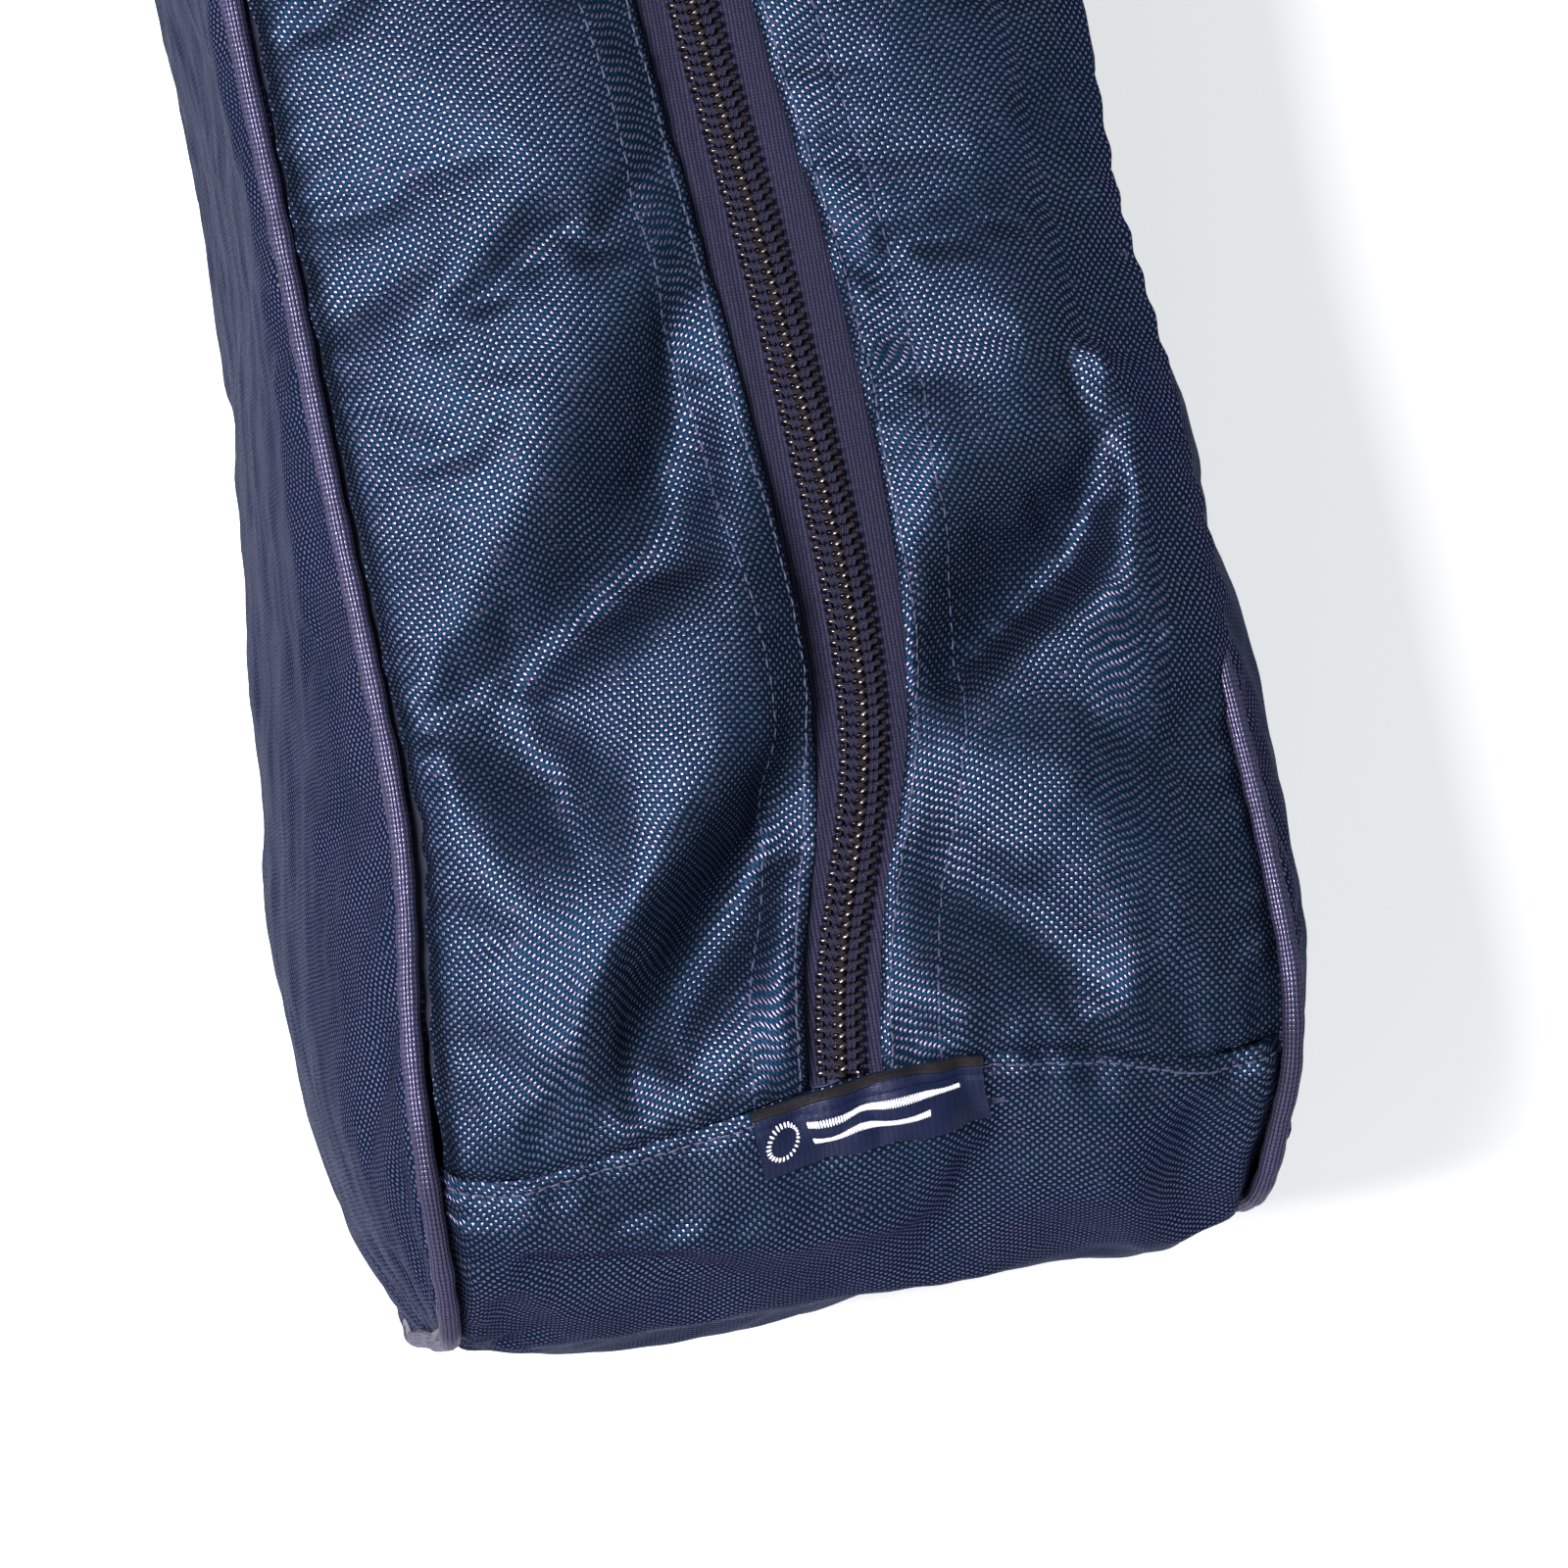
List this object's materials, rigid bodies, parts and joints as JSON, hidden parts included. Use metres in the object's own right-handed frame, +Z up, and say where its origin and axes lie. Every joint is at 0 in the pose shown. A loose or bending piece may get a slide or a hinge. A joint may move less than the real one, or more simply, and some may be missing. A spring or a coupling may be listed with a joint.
{
  "type": "golf shoe bag",
  "caption": "Soft zipped fabric case for a pair of golf shoes, with piped side panels, a full-length top zip, a sewn-in label and a webbing carry loop.",
  "frame": {"origin": "on the surface the bag stands on, under the middle of its whole box", "axes": "+Z up, long axis on Y with the label end towards -Y and the carry loop end towards +Y, left side panel towards -X"},
  "size_m": [0.156, 0.3726, 0.1954],
  "materials": {
    "shell_fabric": "coarse plain-weave coated polyester, slight sheen",
    "board": "thin semi-rigid board",
    "piping": "smooth tightly wrapped piping with a soft sheen",
    "zip_tape": "knitted tape, matt",
    "zip_coil": "nylon coil, satin",
    "slider_metal": "dark gunmetal lacquer, satin",
    "webbing": "ribbed polypropylene webbing, matt",
    "label_weave": "woven satin, soft sheen",
    "binding": "thin woven tape, matt"
  },
  "bodies": {
    "root": {"side_panel_left": "shell_fabric", "side_panel_right": "shell_fabric", "base_panel": "shell_fabric", "base_board": "board", "front_end_panel": "shell_fabric", "rear_end_panel": "shell_fabric", "piping_left": "piping", "piping_right": "piping", "seam_binding_left": "binding", "seam_binding_right": "binding", "cross_seam_binding_front": "binding", "cross_seam_binding_rear": "binding", "zip_tape_left_front_end": "zip_tape", "zip_tape_right_front_end": "zip_tape", "zip_coil_left_front_end": "zip_coil", "zip_coil_right_front_end": "zip_coil", "zip_tape_left_rear_end": "zip_tape", "zip_tape_right_rear_end": "zip_tape", "zip_coil_left_rear_end": "zip_coil", "zip_coil_right_rear_end": "zip_coil", "carry_loop_anchor": "webbing"},
    "flap_left": {"top_panel_left": "shell_fabric", "zip_tape_left": "zip_tape", "zip_coil_left": "zip_coil"},
    "flap_right": {"top_panel_right": "shell_fabric", "zip_tape_right": "zip_tape", "zip_coil_right": "zip_coil"},
    "zip_slider": {"zip_slider_body": "slider_metal", "zip_slider_bridge": "slider_metal"},
    "pull_tab": {"zip_pull_tab": "slider_metal"},
    "carry_loop": {"carry_loop": "webbing"},
    "label": {"woven_label": "label_weave"}
  },
  "joints": [
    {"name": "zip_slide", "type": "slide", "parent": "root", "child": "zip_slider", "axis": [0, -1, 0], "range_m": [0, 0.222]},
    {"name": "flap_left_open", "type": "hinge", "parent": "root", "child": "flap_left", "pos_m": [-0.062, 0, 0.18097], "axis": [0, -1, 0], "range_deg": [0, 85]},
    {"name": "flap_right_open", "type": "hinge", "parent": "root", "child": "flap_right", "pos_m": [0.062, 0, 0.18097], "axis": [0, 1, 0], "range_deg": [0, 85]},
    {"name": "pull_tab_swing", "type": "hinge", "parent": "zip_slider", "child": "pull_tab", "pos_m": [0, 0.09291, 0.1925], "axis": [1, 0, 0], "range_deg": [0, 180]},
    {"name": "carry_loop_lift", "type": "hinge", "parent": "root", "child": "carry_loop", "pos_m": [0, 0.13511, 0.1867], "axis": [1, 0, 0], "range_deg": [0, 100]},
    {"name": "label_lift", "type": "hinge", "parent": "root", "child": "label", "pos_m": [0.002, -0.15477, 0.18619], "axis": [-1, 0, 0], "range_deg": [0, 60]}
  ],
  "couplings": [
    {"joint": "flap_left_open", "follows": "zip_slide", "rad_per_m": 6.68},
    {"joint": "flap_right_open", "follows": "zip_slide", "rad_per_m": 6.68}
  ]
}
